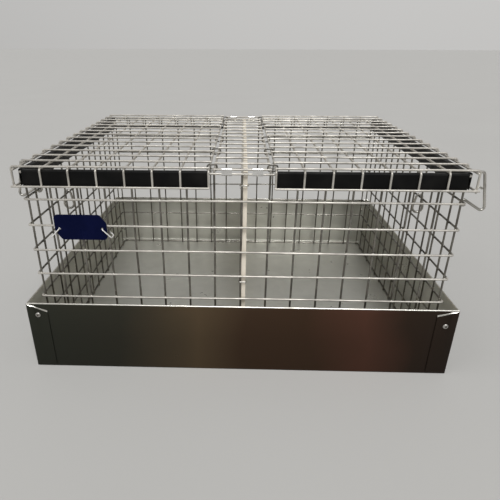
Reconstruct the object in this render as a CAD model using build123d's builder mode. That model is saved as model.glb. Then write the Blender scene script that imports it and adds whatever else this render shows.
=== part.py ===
"""Two-compartment rabbit carrying cage of welded wire mesh, standing in a folded sheet-metal tray.

Millimetres, +X to the right, +Y to the back, +Z up, origin on the floor under the middle of the tray.
"""
import math
import os

from build123d import *

os.makedirs("parts", exist_ok=True)

# Welded mesh
pitch = 25.4  # one mesh square
wire = 2.0  # mesh wire, across its flats
wire_sides = 8  # faces round each wire
weld_gap = 0.02  # hairline between crossing wires, so that each wire is a solid of its own
bend_steps = 2  # straight steps in a square bend of a wire
wide_cells = 16
deep_cells = 14
high_cells = 8
wall_bend = 2.5  # bend radius of the level wires at the cage's corners
corner_leg = 1.5  # straight end of a level wire past its corner bend

# Tray
sheet = 0.8
tray_height = 76.2
tray_gap = 12.7  # cage wire to the outside of the tray
fold_radius = 1.2
hem_gap = 0.4  # inside the rim's flat hem
hem_leg = 8.0  # turned-down edge inside the rim
tab_width = 21.0
left_tab_slope = 7.0  # drop of a left tab's top edge from the corner to its free end
right_tab_slope = 4.4
tab_foot = 3.0  # bottom of a corner tab above the floor
rivet_hole = 3.3
rivet_shank = 3.1
rivet_head = 5.4
rivet_dome = 1.2
rivet_tail = 2.6  # end of the shank inside the wall
rivet_in = 11.0  # rivet from the corner
left_rivet_down = 13.0  # rivet below the rim
right_rivet_down = 17.8

# Lids
rest_gap = 0.3  # between pieces that only rest on each other
lid_cells = 6  # squares between a lid's hinge wire and its last fore-and-aft wire
hinge_offset = 4.8  # hinge wire from the edge wire of the top strip
lid_gap = 0.4  # lid's turned-down edges to the edge strips inside them
lid_bend = 2.5
flange_drop = 17.4  # lid's level wires to the bottom wire of its turned-down edge

# Edge strips on the walls
edging_thick = 1.0
edging_high = 15.5
edging_play = 0.2  # edge strips to the wires inside them
edging_cut = 1.2  # bevelled top edges
edging_inset = 3.0  # ends of the front and back strips from the corners

# Hinge rings, clips and ties
strip_cells = 2  # squares across the fixed top strip
ring_wire = 1.6
ring_sides = 6  # faces round the wire of rings and ties
ring_play = 0.3
ring_cut = 1.2  # cut corners of a squeezed ring
ring_cells = (0.5, 3.5, 6.5, 10.5, 13.5)  # squares from the front wall to each hinge ring
clip_width = 9.5
clip_sheet = 0.6
clip_play = 0.03
clip_cells = 0.55  # squares from the middle to each clip

# Divider
divider_sheet = 0.8
divider_edge = 5.0  # turned edge
tie_wire = 1.4
tie_play = 0.15
tie_room = 0.4  # tie to the back of the divider's edge
tie_cells = (0.42, 4.25)  # squares below the top wire
tie_hole = 2.0  # square hole for a tie

# Latches
latch_wire = 2.5
latch_play = 0.35
left_latch_cells = 1.44  # squares from the front wall
right_latch_cells = 0.22
eye_wrap = 260.0  # turn of the eye round its wire, in degrees
eye_steps = 8
tip_out = 21.5  # sizes of a latch are from its pivot
tip_down = 10.0
bar_out = 13.0  # top of the outer bar
hook_drop = 5.0  # hook below the top of the lid's wires
hook_out = 8.4  # end of the hook
latch_round = 3.0
finger_wire = 2.0
finger_up = 13.0
finger_rise = 2.5
finger_out = 9.4
finger_drop = 7.0
finger_round = 1.8

# Side links
link_wire = 2.6
link_top = 3.4  # radius of the narrow end
link_foot = 5.6  # radius of the wide end
link_middle = 12.0  # between the two ends' centres
link_steps = 6
link_play = 0.3
link_cells = 4.5  # squares from the front wall

# Tag
tag_wide = 49.6
tag_high = 24.6
tag_thick = 1.5
tag_cells = (-6.0, 2.03)  # squares to the right of the middle, and below the top wire
tag_round = 4.0
tag_cut_wide = 6.0
tag_cut_high = 8.5
tag_hole = 2.6
tag_ring_cells = 1.0  # squares from the tag's middle to the upright wire in each ring
tag_hole_in = 4.3  # holes from the tag's ends
tag_hole_drop = 2.0  # holes below the level wire behind the tag
tag_ring_wire = 1.2
tag_ring_play = 0.6
tag_ring_past = 2.0  # rings past the upright wires
tag_ring_turn = 45.0  # slope of the rings, in degrees

# Places worked out from the sizes above
half_wire = wire / 2
layer = wire + weld_gap
cage_w = wide_cells * pitch
cage_d = deep_cells * pitch - (math.pi - 2) * wall_bend
hem_radius = sheet + hem_gap / 2
tray_w = cage_w + 2 * tray_gap
tray_d = cage_d + 2 * tray_gap
side_x = cage_w / 2
front_y = -cage_d / 2
wall_z = sheet + rest_gap + half_wire
wall_top = wall_z + high_cells * pitch
strip_fore_z = wall_top + layer
strip_cross_z = strip_fore_z + layer
strip_edge_x = strip_cells * pitch / 2
edging_reach = half_wire + edging_play + edging_thick  # faces of a strip from the middles of the wires inside it
edging_top = wall_top + edging_reach
lid_fore_z = edging_top + rest_gap + half_wire
lid_cross_z = lid_fore_z + layer
hinge_x = strip_edge_x + hinge_offset
bend_inside = lid_bend * math.cos(math.pi / 4 / bend_steps) - half_wire
nest_room = bend_inside - half_wire / math.cos(math.pi / wire_sides) - weld_gap
nest = lid_bend - nest_room / math.sqrt(2)  # corner wire, inside the bends of a lid's outer side
flange_x = side_x + edging_reach + lid_gap + half_wire + max(layer, nest)
flange_y = front_y - edging_reach - lid_gap - half_wire
flange_z = lid_cross_z - flange_drop
wire_end_z = flange_z - half_wire


def wire_section(across=wire, sides=wire_sides):
    """Section of a drawn wire, flat sides square to the sketch."""
    return RegularPolygon(across / 2, sides, major_radius=False, rotation=180 / sides)


def rounded(points, radius):
    """Path of a bent wire through points, with a bend of short straight steps at each inner one."""
    points = [Vector(*point) for point in points]
    path = [points[0]]
    for start, corner, end in zip(points, points[1:], points[2:]):
        arrive = (corner - start).normalized()
        leave = (end - corner).normalized()
        turn = math.radians(arrive.get_angle(leave))
        inward = (leave - arrive * math.cos(turn)).normalized()
        middle = corner - arrive * radius * math.tan(turn / 2) + inward * radius
        steps = max(1, round(bend_steps * turn / (math.pi / 2)))
        for step in range(steps + 1):
            angle = turn * step / steps
            path.append(middle + arrive * radius * math.sin(angle) - inward * radius * math.cos(angle))
    path.append(points[-1])
    return path


def start_plane(path, normal):
    """Plane square to the start of a flat path, its sketch x axis along the normal of the path's plane."""
    return Plane(path.line @ 0, x_dir=normal, z_dir=path.line % 0)


def cut_ring(low_x, high_x, low_y, high_y, cut, gap):
    """Points of a squeezed wire ring with cut corners, open by a hairline in its lower long side."""
    middle = (low_x + high_x) / 2
    return [
        (middle - gap / 2, low_y),
        (low_x + cut, low_y),
        (low_x, low_y + cut),
        (low_x, high_y - cut),
        (low_x + cut, high_y),
        (high_x - cut, high_y),
        (high_x, high_y - cut),
        (high_x, low_y + cut),
        (high_x - cut, low_y),
        (middle + gap / 2, low_y),
    ]


# Tray pan
wall_height = tray_height - hem_radius
with BuildPart() as tray_pan:
    with BuildSketch():
        Rectangle(tray_w, tray_d)
    extrude(amount=wall_height)
    fillet(tray_pan.edges().group_by(Axis.Z)[0], fold_radius)
    for end in (-1, 1):
        outer_face = Plane((0, end * tray_d / 2, 0), x_dir=(-end, 0, 0), z_dir=(0, end, 0))
        for side, tab_slope in ((-1, left_tab_slope), (1, right_tab_slope)):
            with BuildSketch(outer_face):
                with BuildLine():
                    corner_x = -end * side * tray_w / 2
                    free_x = corner_x + end * side * tab_width
                    Polyline(
                        (corner_x, tab_foot),
                        (corner_x, wall_height),
                        (free_x, wall_height - tab_slope),
                        (free_x, tab_foot),
                        close=True,
                    )
                make_face()
            extrude(amount=sheet)
    with BuildSketch(Plane.XY.offset(sheet)):
        Rectangle(tray_w - 2 * sheet, tray_d - 2 * sheet)
    extrude(amount=tray_height, mode=Mode.SUBTRACT)
    for edge_plane, run, reach in (
        (Plane.YZ, tray_w - 2 * fold_radius, tray_d / 2),
        (Plane.XZ, tray_d - 4 * hem_radius - 2 * fold_radius, tray_w / 2),
    ):
        for side in (-1, 1):
            with BuildSketch(edge_plane):
                with Locations((side * (reach - hem_radius), wall_height)):
                    Circle(hem_radius)
                    Circle(hem_radius - sheet, mode=Mode.SUBTRACT)
                with Locations((side * (reach - hem_radius), wall_height - hem_radius)):
                    Rectangle(2 * hem_radius, 2 * hem_radius, mode=Mode.SUBTRACT)
                with Locations((side * (reach - 2 * hem_radius + sheet / 2), wall_height - hem_leg / 2)):
                    Rectangle(sheet, hem_leg)
            extrude(amount=run / 2, both=True)
    rivet_x = tray_w / 2 - rivet_in
    left_rivet_z = tray_height - left_rivet_down
    right_rivet_z = tray_height - right_rivet_down
    with BuildSketch(Plane.XZ):
        with Locations((-rivet_x, left_rivet_z), (rivet_x, right_rivet_z)):
            Circle(rivet_hole / 2)
    extrude(amount=tray_d, both=True, mode=Mode.SUBTRACT)
tray_pan.part.label = "tray_pan"
export_step(tray_pan.part, "parts/tray_pan.step")

# Pop rivet: low head outside the tab, shank through tab and wall
grip = 2 * sheet
with BuildPart() as rivet:
    with BuildSketch(Plane.XY):
        with BuildLine():
            Polyline(
                (0, -rivet_dome),
                (rivet_head / 4, -rivet_dome),
                (rivet_head / 2, 0),
                (rivet_shank / 2, 0),
                (rivet_shank / 2, grip + rivet_tail),
                (0, grip + rivet_tail),
                close=True,
            )
        make_face()
    revolve(axis=Axis.Y)

with BuildPart() as tray_rivets:
    for side, rivet_z in ((-1, left_rivet_z), (1, right_rivet_z)):
        for end in (-1, 1):
            spin = 0 if end < 0 else 180
            seat_y = end * (tray_d / 2 + sheet)
            add(rivet.part.moved(Location((side * rivet_x, seat_y, rivet_z), (0, 0, spin))))
tray_rivets.part.label = "tray_rivets"
export_step(tray_rivets.part, "parts/tray_rivets.step")

# Front and back walls: level wires outside with their corner bends, upright wires inside
level_z = [wall_z + row * pitch for row in range(high_cells + 1)]
corner_x = side_x - wall_bend - 0.45 * wire
upright_x = [-corner_x]
upright_x += [column * pitch - side_x for column in range(1, wide_cells)]
upright_x += [corner_x]
corner_end = wall_bend + corner_leg
for name, end in (("front_wall", -1), ("back_wall", 1)):
    face_y = end * cage_d / 2
    with BuildPart() as wall:
        with BuildLine() as level_path:
            outer_left = (-side_x, face_y, 0)
            outer_right = (side_x, face_y, 0)
            left_end = (-side_x, face_y - end * corner_end, 0)
            right_end = (side_x, face_y - end * corner_end, 0)
            Polyline(*rounded((left_end, outer_left, outer_right, right_end), wall_bend))
        with BuildSketch(start_plane(level_path, (0, 0, 1))):
            with Locations(*[(z, 0) for z in level_z]):
                wire_section()
        sweep(path=level_path.line, transition=Transition.RIGHT)
        with BuildSketch(Plane.XY.offset(wall_z - half_wire)):
            with Locations(*[(x, face_y - end * layer) for x in upright_x]):
                wire_section()
        extrude(amount=high_cells * pitch + wire)
    wall.part.label = name
    export_step(wall.part, f"parts/{name}.step")

# Side walls: straight level wires between the corner bends, upright wires inside
side_run = cage_d - 2 * corner_end - 2 * weld_gap
first_upright = front_y + wall_bend + pitch - math.pi / 2 * wall_bend
upright_y = [first_upright + row * pitch for row in range(deep_cells - 1)]
for name, side in (("left_wall", -1), ("right_wall", 1)):
    with BuildPart() as wall:
        with BuildSketch(Plane.XZ):
            with Locations(*[(side * side_x, z) for z in level_z]):
                wire_section()
        extrude(amount=side_run / 2, both=True)
        with BuildSketch(Plane.XY.offset(wall_z - half_wire)):
            with Locations(*[(side * (side_x - layer), y) for y in upright_y]):
                wire_section()
        extrude(amount=high_cells * pitch + wire)
    wall.part.label = name
    export_step(wall.part, f"parts/{name}.step")

# Fixed top strip: fore-and-aft wires on the walls' top wires, cross wires on top
strip_pitch = cage_d / deep_cells
with BuildPart() as top_strip:
    with BuildSketch(Plane.XZ):
        with Locations(*[(column * pitch - strip_edge_x, strip_fore_z) for column in range(strip_cells + 1)]):
            wire_section()
    extrude(amount=cage_d / 2 + half_wire, both=True)
    with BuildSketch(Plane.YZ):
        with Locations(*[(front_y + row * strip_pitch, strip_cross_z) for row in range(deep_cells + 1)]):
            wire_section()
    extrude(amount=strip_edge_x + half_wire, both=True)
top_strip.part.label = "top_strip"
export_step(top_strip.part, "parts/top_strip.step")

# Clips crimped round the strip's end wires and the walls' top wires
clip_inner = wire + 2 * clip_play
with BuildPart() as clip:
    for across, mode in ((clip_inner + 2 * clip_sheet, Mode.ADD), (clip_inner, Mode.SUBTRACT)):
        with BuildSketch(Plane.YZ):
            band = Rectangle(across, strip_cross_z - wall_top + across)
            chamfer(band.vertices(), across * (1 - math.sqrt(0.5)))
        extrude(amount=clip_width / 2, both=True, mode=mode)

clip_x = clip_cells * pitch
clip_z = (wall_top + strip_cross_z) / 2
with BuildPart() as strip_clips:
    with Locations(*[(side * clip_x, end * cage_d / 2, clip_z) for side in (-1, 1) for end in (-1, 1)]):
        add(clip.part)
strip_clips.part.label = "strip_clips"
export_step(strip_clips.part, "parts/strip_clips.step")

# Divider: upright sheet with edges turned to the right at front, back and top
divider_y = front_y + layer + half_wire + weld_gap
divider_top = strip_fore_z - half_wire - weld_gap
divider_foot = sheet + rest_gap
tie_y = divider_y + divider_sheet + tie_room + tie_wire / 2
tie_z = [wall_top - cells * pitch for cells in tie_cells]
with BuildPart() as divider:
    with BuildSketch(Plane.XY.offset(divider_foot)):
        with Locations((divider_sheet / 2, 0)):
            Rectangle(divider_sheet, -2 * divider_y)
        for end in (-1, 1):
            with Locations((divider_edge / 2, -end * (divider_y + divider_sheet / 2))):
                Rectangle(divider_edge, divider_sheet)
    extrude(amount=divider_top - divider_foot)
    with BuildSketch(Plane.XY.offset(divider_top - divider_sheet)):
        with Locations((divider_edge / 2, 0)):
            Rectangle(divider_edge, -2 * divider_y)
    extrude(amount=divider_sheet)
    with BuildSketch(Plane.YZ):
        with Locations(*[(end * tie_y, z) for end in (-1, 1) for z in tie_z]):
            Rectangle(tie_hole, tie_hole)
    extrude(amount=divider_sheet, mode=Mode.SUBTRACT)
divider.part.label = "divider"
export_step(divider.part, "parts/divider.step")

# Ties round the middle upright wire and the divider's edge
tie_reach = half_wire + tie_play + tie_wire / 2
tie_front = front_y + layer - tie_reach
with BuildPart() as divider_ties:
    for end in (-1, 1):
        for z in tie_z:
            with BuildLine() as tie_path:
                low_x, high_x = -tie_reach, divider_edge + tie_play + tie_wire / 2
                points = cut_ring(low_x, high_x, tie_front, tie_y, tie_wire / 2, weld_gap)
                Polyline(*[(x, -end * y, z) for x, y in points])
            with BuildSketch(start_plane(tie_path, (0, 0, 1))):
                wire_section(tie_wire, ring_sides)
            sweep(path=tie_path.line, transition=Transition.RIGHT)
divider_ties.part.label = "divider_ties"
export_step(divider_ties.part, "parts/divider_ties.step")

# Hinge rings round the strip's edge wire and a lid's hinge wire
ring_reach = half_wire + ring_play + ring_wire / 2
ring_low = min(strip_fore_z, lid_fore_z) - ring_reach
ring_high = max(strip_fore_z, lid_fore_z) + ring_reach
for name, side in (("left_hinge_rings", -1), ("right_hinge_rings", 1)):
    with BuildPart() as hinge_rings:
        for cells in ring_cells:
            y = front_y + cells * strip_pitch
            with BuildLine() as ring_path:
                low_x, high_x = strip_edge_x - ring_reach, hinge_x + ring_reach
                points = cut_ring(low_x, high_x, ring_low, ring_high, ring_cut, weld_gap)
                Polyline(*[(side * x, y, z) for x, z in points])
            with BuildSketch(start_plane(ring_path, (0, 1, 0))):
                wire_section(ring_wire, ring_sides)
            sweep(path=ring_path.line, transition=Transition.RIGHT)
    hinge_rings.part.label = name
    export_step(hinge_rings.part, f"parts/{name}.step")

# Lids: cross wires on top, fore-and-aft wires under them, edges bent down on three sides
lid_first = flange_y + lid_bend - 0.1 * wire
lid_pitch = -2 * lid_first / deep_cells
for name, side in (("left_lid", -1), ("right_lid", 1)):
    with BuildPart() as lid:
        with BuildLine() as fore_path:
            front_end = (side * hinge_x, flange_y, wire_end_z)
            front_top = (side * hinge_x, flange_y, lid_fore_z)
            back_top = (side * hinge_x, -flange_y, lid_fore_z)
            back_end = (side * hinge_x, -flange_y, wire_end_z)
            Polyline(*rounded((front_end, front_top, back_top, back_end), lid_bend))
        with BuildSketch(Plane(front_end, x_dir=(1, 0, 0), z_dir=(0, 0, 1))):
            with Locations(*[(side * column * pitch, 0) for column in range(lid_cells + 1)]):
                wire_section()
        sweep(path=fore_path.line, transition=Transition.RIGHT)
        with BuildLine() as cross_path:
            inner_end = (side * (hinge_x - half_wire), lid_first, lid_cross_z)
            outer_top = (side * flange_x, lid_first, lid_cross_z)
            outer_end = (side * flange_x, lid_first, wire_end_z)
            Polyline(*rounded((inner_end, outer_top, outer_end), lid_bend))
        with BuildSketch(Plane(inner_end, x_dir=(0, 1, 0), z_dir=(side, 0, 0))):
            with Locations(*[(row * lid_pitch, 0) for row in range(deep_cells + 1)]):
                wire_section()
        sweep(path=cross_path.line, transition=Transition.RIGHT)
        with BuildSketch(Plane.YZ.offset(side * (hinge_x - half_wire))):
            with Locations((flange_y - layer, flange_z), (layer - flange_y, flange_z)):
                wire_section()
        extrude(amount=side * (flange_x - hinge_x + wire))
        with BuildSketch(Plane.XZ):
            with Locations(
                (side * (flange_x - layer), flange_z),
                (side * (flange_x - nest), lid_cross_z - nest),
            ):
                wire_section()
        extrude(amount=-flange_y + half_wire, both=True)
    lid.part.label = name
    export_step(lid.part, f"parts/{name}.step")

# Edge strips: black plastic channels pushed over the walls' top edges, inside the lids' turned-down edges
side_edging_y = -front_y - layer - edging_reach - edging_play


def edging_section(middle):
    """Section of an edge strip over a wall whose two layers of wire lie round the middle."""
    with Locations((middle, edging_top - edging_high / 2)):
        bar = Rectangle(layer + 2 * edging_reach, edging_high)
    chamfer(bar.vertices().group_by(Axis.Y)[-1], edging_cut)
    with Locations((middle, edging_top - edging_thick - edging_high / 2)):
        Rectangle(layer + 2 * (edging_reach - edging_thick), edging_high, mode=Mode.SUBTRACT)


for word, side in (("left", -1), ("right", 1)):
    for place, end in (("front", -1), ("back", 1)):
        with BuildPart() as end_edging:
            with BuildSketch(Plane.YZ.offset(side * hinge_x)):
                edging_section(-end * (front_y + layer / 2))
            extrude(amount=side * (side_x - edging_inset - hinge_x))
        end_edging.part.label = f"{word}_{place}_strip"
        export_step(end_edging.part, f"parts/{word}_{place}_strip.step")
    with BuildPart() as side_edging:
        with BuildSketch(Plane.XZ):
            edging_section(side * (side_x - layer / 2))
        extrude(amount=side_edging_y, both=True)
    side_edging.part.label = f"{word}_side_strip"
    export_step(side_edging.part, f"parts/{word}_side_strip.step")

# Latches: a bent wire with an eye on the side wall's second wire, and a finger welded on its outer bar
pivot_z = wall_top - pitch
eye_radius = half_wire + latch_play + latch_wire / 2
hook_up = lid_cross_z + half_wire - hook_drop + latch_wire / 2 - pivot_z
leg_turn = math.atan2(-tip_down, tip_out) + math.acos(eye_radius / math.hypot(tip_out, tip_down))
eye_turns = [leg_turn + math.radians(eye_wrap) * (1 - step / eye_steps) for step in range(eye_steps + 1)]
eye = [Vector(eye_radius * math.cos(turn), 0, eye_radius * math.sin(turn)) for turn in eye_turns]
tip, bar_top, hook_end = (tip_out, 0, -tip_down), (bar_out, 0, hook_up), (hook_out, 0, hook_up)
latch_route = eye + rounded((eye[-1], tip, bar_top, hook_end), latch_round)[1:]
bar_here = tip_out + (bar_out - tip_out) * (finger_up + tip_down) / (hook_up + tip_down)
finger_top = finger_up + finger_rise
finger_route = rounded(
    (
        (bar_here - latch_wire / 2 - 0.3 * finger_wire, 0, finger_up),
        (finger_out, 0, finger_top),
        (finger_out, 0, finger_top - finger_drop),
    ),
    finger_round,
)
for word, side, latch_cells in (("left", -1, left_latch_cells), ("right", 1, right_latch_cells)):
    latch_y = front_y + latch_cells * pitch
    for piece, route, across in (("latch", latch_route, latch_wire), ("finger", finger_route, finger_wire)):
        with BuildPart() as latch_piece:
            with BuildLine() as latch_path:
                Polyline(*[(side * (side_x + point.X), latch_y, pivot_z + point.Z) for point in route])
            with BuildSketch(start_plane(latch_path, (0, 1, 0))):
                wire_section(across)
            sweep(path=latch_path.line, transition=Transition.RIGHT)
        latch_piece.part.label = f"{word}_{piece}"
        export_step(latch_piece.part, f"parts/{word}_{piece}.step")

# Side links: pear-shaped wire loops hanging on the side walls' third wire
link_y = front_y + wall_bend + (link_cells - math.pi / 2 * wall_bend / pitch) * pitch
link_top_z = wall_top - 2 * pitch + half_wire + link_play + link_wire / 2 - link_top
link_slope = math.asin((link_foot - link_top) / link_middle)
top_turns = [link_slope + (math.pi - 2 * link_slope) * step / link_steps for step in range(link_steps + 1)]
foot_turns = [
    math.pi - link_slope + (math.pi + 2 * link_slope) * step / link_steps for step in range(link_steps + 1)
]
top_arc = [Vector(link_top * math.cos(turn), 0, link_top * math.sin(turn)) for turn in top_turns]
foot_arc = [
    Vector(link_foot * math.cos(turn), 0, link_foot * math.sin(turn) - link_middle) for turn in foot_turns
]
link_join = (foot_arc[-1] + top_arc[0]) * 0.5
link_ends = (top_arc[0] - link_join).normalized() * (weld_gap / 2)
link_route = [link_join + link_ends, *top_arc, *foot_arc, link_join - link_ends]
for word, side in (("left", -1), ("right", 1)):
    with BuildPart() as side_link:
        with BuildLine() as link_path:
            Polyline(*[(side * (side_x + point.X), link_y, link_top_z + point.Z) for point in link_route])
        with BuildSketch(start_plane(link_path, (0, 1, 0))):
            wire_section(link_wire)
        sweep(path=link_path.line, transition=Transition.RIGHT)
    side_link.part.label = f"{word}_link"
    export_step(side_link.part, f"parts/{word}_link.step")

# Tag: thin plate in front of the wires, two opposite corners cut and all of them rounded
tag_x = tag_cells[0] * pitch
tag_z = wall_top - tag_cells[1] * pitch
tag_back = front_y - half_wire - rest_gap
ring_x = tag_ring_cells * pitch
ring_reach = tag_ring_play + tag_ring_wire / 2
hole_x = min(tag_wide / 2 - tag_hole_in, ring_x - half_wire - ring_reach)
hole_z = wall_top - 2 * pitch - tag_hole_drop
with BuildPart() as tag:
    with BuildSketch(Plane((tag_x, tag_back, tag_z), x_dir=(1, 0, 0), z_dir=(0, -1, 0))):
        with BuildLine():
            Polyline(
                (-tag_wide / 2, tag_high / 2),
                (tag_wide / 2 - tag_cut_wide, tag_high / 2),
                (tag_wide / 2, tag_high / 2 - tag_cut_high),
                (tag_wide / 2, -tag_high / 2),
                (tag_cut_wide - tag_wide / 2, -tag_high / 2),
                (-tag_wide / 2, tag_cut_high - tag_high / 2),
                close=True,
            )
        plate = make_face()
        fillet(plate.vertices(), tag_round)
        with Locations((-hole_x, hole_z - tag_z), (hole_x, hole_z - tag_z)):
            Circle(tag_hole / 2, mode=Mode.SUBTRACT)
    extrude(amount=tag_thick)
tag.part.label = "tag"
export_step(tag.part, "parts/tag.step")

# Tag rings: slanting wire rings through the tag's holes, round the upright wires behind its ends
ring_slope = math.radians(tag_ring_turn)
ring_end = max(ring_x + half_wire + tag_ring_past + tag_ring_wire / 2, tag_wide / 2 + ring_reach)
ring_length = (ring_end - hole_x) / math.cos(ring_slope)
ring_front = tag_back - tag_thick - ring_reach
ring_back = front_y + layer + half_wire + ring_reach
with BuildPart() as tag_rings:
    for side in (-1, 1):
        slant = Vector(-side * math.cos(ring_slope), 0, math.sin(ring_slope))
        hole = Vector(tag_x + side * hole_x, 0, hole_z)
        with BuildLine() as ring_path:
            points = cut_ring(-ring_length, 0, ring_front, ring_back, tag_ring_wire / 2, weld_gap)
            Polyline(*[hole + slant * along + Vector(0, y, 0) for along, y in points])
        with BuildSketch(start_plane(ring_path, slant.cross(Vector(0, 1, 0)))):
            wire_section(tag_ring_wire, ring_sides)
        sweep(path=ring_path.line, transition=Transition.RIGHT)
tag_rings.part.label = "tag_rings"
export_step(tag_rings.part, "parts/tag_rings.step")
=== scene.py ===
"""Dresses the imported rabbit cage: round welded wire, folded zinc tray, edge strips, rings, latches and tag.

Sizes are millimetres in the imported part's frame (+X right, +Y back, +Z up) and become metres in the meshes.
"""
from __future__ import annotations

import logging
import math
from dataclasses import dataclass, field
from enum import Enum, IntEnum

import bpy
import numpy as np
from mathutils import Matrix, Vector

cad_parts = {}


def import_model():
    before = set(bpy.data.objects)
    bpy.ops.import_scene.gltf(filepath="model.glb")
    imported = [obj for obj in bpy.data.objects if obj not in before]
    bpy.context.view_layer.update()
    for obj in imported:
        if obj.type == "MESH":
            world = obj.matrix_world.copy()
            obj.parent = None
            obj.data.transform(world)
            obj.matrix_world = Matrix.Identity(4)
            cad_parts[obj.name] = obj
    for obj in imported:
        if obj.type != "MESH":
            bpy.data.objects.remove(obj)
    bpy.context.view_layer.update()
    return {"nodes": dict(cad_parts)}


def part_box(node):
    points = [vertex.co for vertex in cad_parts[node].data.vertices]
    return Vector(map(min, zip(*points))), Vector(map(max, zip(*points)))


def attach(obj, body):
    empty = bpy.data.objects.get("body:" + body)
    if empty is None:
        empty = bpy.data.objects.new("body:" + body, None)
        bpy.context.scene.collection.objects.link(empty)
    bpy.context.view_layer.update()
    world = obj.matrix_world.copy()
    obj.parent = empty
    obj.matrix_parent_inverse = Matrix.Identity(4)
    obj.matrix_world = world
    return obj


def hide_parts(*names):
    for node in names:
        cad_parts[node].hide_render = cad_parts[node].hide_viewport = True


LOG = logging.getLogger("rabbit_cage")
MM = 0.001
CREASE = 40.0  # degrees above which an edge stays sharp
NEAREST = 0.05  # shortest step along a path
WAVE_TURNS, WAVE_SHARES = (0.8, 2.6), (0.3, 1.0)  # waves on a wire's length, and shares of their largest size
WELD_LATITUDES = (-62.0, -22.0, 22.0, 62.0)
NOISE_LOW, NOISE_HIGH = 0.3, 0.7  # between them lies most of a noise
MIX_SHARE, MIX_FIRST, MIX_SECOND, MIX_COLOUR = 0, 6, 7, 2  # colour sockets of a mix node
RIGHT, BACK, UP = (1.0, 0.0, 0.0), (0.0, 1.0, 0.0), (0.0, 0.0, 1.0)

Array = np.ndarray
Lines = np.ndarray | list[float]
Pair = tuple[float, float]
Point = tuple[float, float, float]
Colour = tuple[float, float, float]
Material = bpy.types.Material
Socket = bpy.types.NodeSocket


class Side(Enum):
    """Left or right half of the cage, as the sign of X."""

    LEFT = -1
    RIGHT = 1

    @property
    def word(self) -> str:
        """Name of the side as the part's nodes spell it."""
        return self.name.lower()


class Body(Enum):
    """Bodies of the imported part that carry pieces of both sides."""

    TRAY = "tray"
    CAGE = "cage"


class Slot(Enum):
    """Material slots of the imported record."""

    SHEET = "galvanised_sheet"
    RIVET = "rivet_metal"
    MESH = "mesh_wire"
    CLIP = "clip_metal"
    RING = "ring_wire"
    STRIP = "black_plastic"
    LATCH = "latch_wire"
    LINK = "link_wire"


class Seed(IntEnum):
    """First seeds of the slow waves in wires and sheet."""

    END_LEVEL = 11
    END_UPRIGHT = 21
    SIDE_LEVEL = 31
    SIDE_UPRIGHT = 41
    STRIP_FORE = 51
    STRIP_CROSS = 52
    LID = 60
    TRAY = 80


class TrayFace(IntEnum):
    """Finish numbers of the tray's faces."""

    INSIDE = 0
    OUTSIDE = 1
    # rolled rim and tabs' top edges, finished with a painted highlight
    RIM = 2


@dataclass
class Surface:
    """Points in millimetres, arrays of faces with equal corner counts, and each array's finish number."""

    points: Array
    faces: list[Array]
    finish: list[int]

    @staticmethod
    def joined(parts: list[Surface]) -> Surface:
        """Puts several surfaces into one.

        Args:
            parts: surfaces to put together, in order.

        Returns:
            One surface with all points and faces.
        """
        starts = np.cumsum([0] + [len(part.points) for part in parts])
        points = np.concatenate([part.points for part in parts])
        faces = [rows + start for part, start in zip(parts, starts) for rows in part.faces]
        return Surface(points, faces, [number for part in parts for number in part.finish])

    def dressed(self, number: int) -> Surface:
        """The same surface with one finish number on all its faces."""
        return Surface(self.points, self.faces, [number] * len(self.faces))


def unit(vectors: Array) -> Array:
    """Vectors of length 1 in the same directions."""
    return vectors / np.linalg.norm(vectors, axis=-1, keepdims=True)


def box_mm(node: str) -> Array:
    """Lowest and highest corner of a CAD node, in millimetres."""
    return np.array([tuple(corner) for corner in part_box(node)]) / MM


def circle(radius: float, sides: int) -> Array:
    """Profile of a round wire: the points radius * (cos t, sin t), t in equal steps."""
    turns = (np.arange(sides) + 0.5) * 2 * math.pi / sides
    return radius * np.stack([np.cos(turns), np.sin(turns)], axis=1)


def arc(radius: float, turns: Array) -> Array:
    """Arc in the XZ plane: the points radius * (cos t, 0, sin t)."""
    return radius * np.stack([np.cos(turns), 0 * turns, np.sin(turns)], axis=1)


def run_lengths(path: Array) -> Array:
    """Length from the start of a path to each of its points."""
    return np.concatenate([[0], np.cumsum(np.linalg.norm(np.diff(path, axis=0), axis=1))])


def bent_path(
    corners: list[Point] | Array, bend: float = 0.0, spacing: float = 12.7, steps: int = 6
) -> Array:
    """Path of a bent wire: straight runs with an arc of the bend's radius in place of each inner corner.

    Args:
        corners: the path's corners in order.
        bend: radius of the arcs.
        spacing: longest step on the straight runs.
        steps: steps in a square bend.

    Returns:
        Points along the path.
    """
    corners = np.asarray(corners, float)
    knots = [corners[:1]]
    for before, corner, after in zip(corners, corners[1:], corners[2:]):
        arrive, leave = unit(corner - before), unit(after - corner)
        turn = math.acos(float(np.clip(arrive @ leave, -1, 1)))
        inward = unit(leave - arrive * math.cos(turn))
        centre = corner - arrive * bend * math.tan(turn / 2) + inward * bend
        angle = np.linspace(0, turn, max(2, round(steps * turn * 2 / math.pi)) + 1)[:, None]
        knots.append(centre + bend * (np.sin(angle) * arrive - np.cos(angle) * inward))
    knots = np.concatenate([*knots, corners[-1:]])
    run = run_lengths(knots)
    stations = np.union1d(run, np.linspace(0, run[-1], max(2, math.ceil(run[-1] / spacing) + 1)))
    stations = stations[np.concatenate([[True], np.diff(stations) > NEAREST])]
    return np.stack([np.interp(stations, run, knots[:, axis]) for axis in range(3)], axis=1)


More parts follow.
